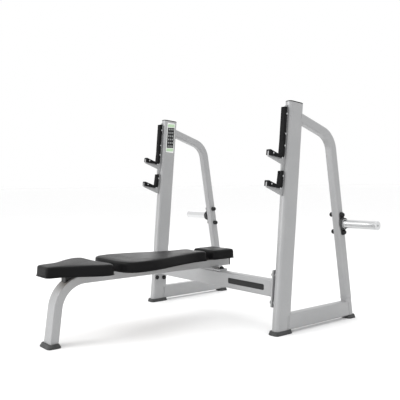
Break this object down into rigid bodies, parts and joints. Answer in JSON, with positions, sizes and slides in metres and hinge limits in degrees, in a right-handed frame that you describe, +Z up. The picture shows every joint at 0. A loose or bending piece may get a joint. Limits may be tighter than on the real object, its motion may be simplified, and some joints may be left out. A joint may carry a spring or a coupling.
{
  "type": "olympic bench press",
  "caption": "Flat padded weight bench bolted to two leaning bar stands with lined bar cradles and a storage peg on each stand.",
  "frame": {"origin": "on the floor, under the middle of the overall box", "axes": "+X along the bar, towards the right stand; +Y along the bench, from its foot end to its head end; +Z up"},
  "size_m": [1.66, 1.67, 1.2186],
  "materials": {
    "frame_paint": "satin metallic powder coat, silver grey",
    "black_paint": "satin black powder coat",
    "black_plastic": "matte moulded polyethylene, black",
    "cap_plastic": "semi-gloss moulded plastic, black",
    "black_rubber": "matte moulded rubber",
    "peg_chrome": "bright satin chrome",
    "zinc_steel": "zinc-plated steel",
    "pad_vinyl": "black grained vinyl with a soft sheen",
    "plywood": "birch plywood",
    "label_print": "printed film on a thin plate"
  },
  "bodies": {
    "root": {"upright_right": "frame_paint", "upright_left": "frame_paint", "rear_tube_right": "frame_paint", "rear_tube_left": "frame_paint", "rear_post_right": "frame_paint", "rear_post_left": "frame_paint", "base_tube_right": "frame_paint", "base_tube_left": "frame_paint", "hook_plate_right": "frame_paint", "hook_plate_left": "frame_paint", "cross_beam": "frame_paint", "beam_end_plate_right": "frame_paint", "beam_end_plate_left": "frame_paint", "bench_frame": "frame_paint", "saddle_plate": "frame_paint", "pad_supports": "frame_paint", "peg_plate_right": "black_paint", "peg_plate_left": "black_paint", "seat_bracket": "black_paint", "bar_guard_right": "black_plastic", "bar_guard_left": "black_plastic", "upper_liner_right": "black_plastic", "upper_liner_left": "black_plastic", "lower_liner_right": "black_plastic", "lower_liner_left": "black_plastic", "upright_cap_right": "black_plastic", "upright_cap_left": "black_plastic", "spine_end_cap": "black_plastic", "peg_bolt_caps": "cap_plastic", "frame_bolt_caps": "cap_plastic", "front_foot_right": "black_rubber", "front_foot_left": "black_rubber", "rear_foot_right": "black_rubber", "rear_foot_left": "black_rubber", "bench_foot": "black_rubber", "peg_bumper_right": "black_rubber", "peg_bumper_left": "black_rubber", "storage_peg_right": "peg_chrome", "storage_peg_left": "peg_chrome", "peg_cap_right": "peg_chrome", "peg_cap_left": "peg_chrome", "liner_screws": "zinc_steel", "peg_tip_screws": "zinc_steel", "peg_bolts": "zinc_steel", "peg_nuts": "zinc_steel", "frame_bolts": "zinc_steel", "weld_nuts": "zinc_steel", "pad_screws": "zinc_steel", "tee_nuts": "zinc_steel", "seat_pad": "pad_vinyl", "back_pad": "pad_vinyl", "head_pad": "pad_vinyl", "seat_board": "plywood", "back_board": "plywood", "head_board": "plywood", "info_plate": "label_print"}
  },
  "joints": []
}
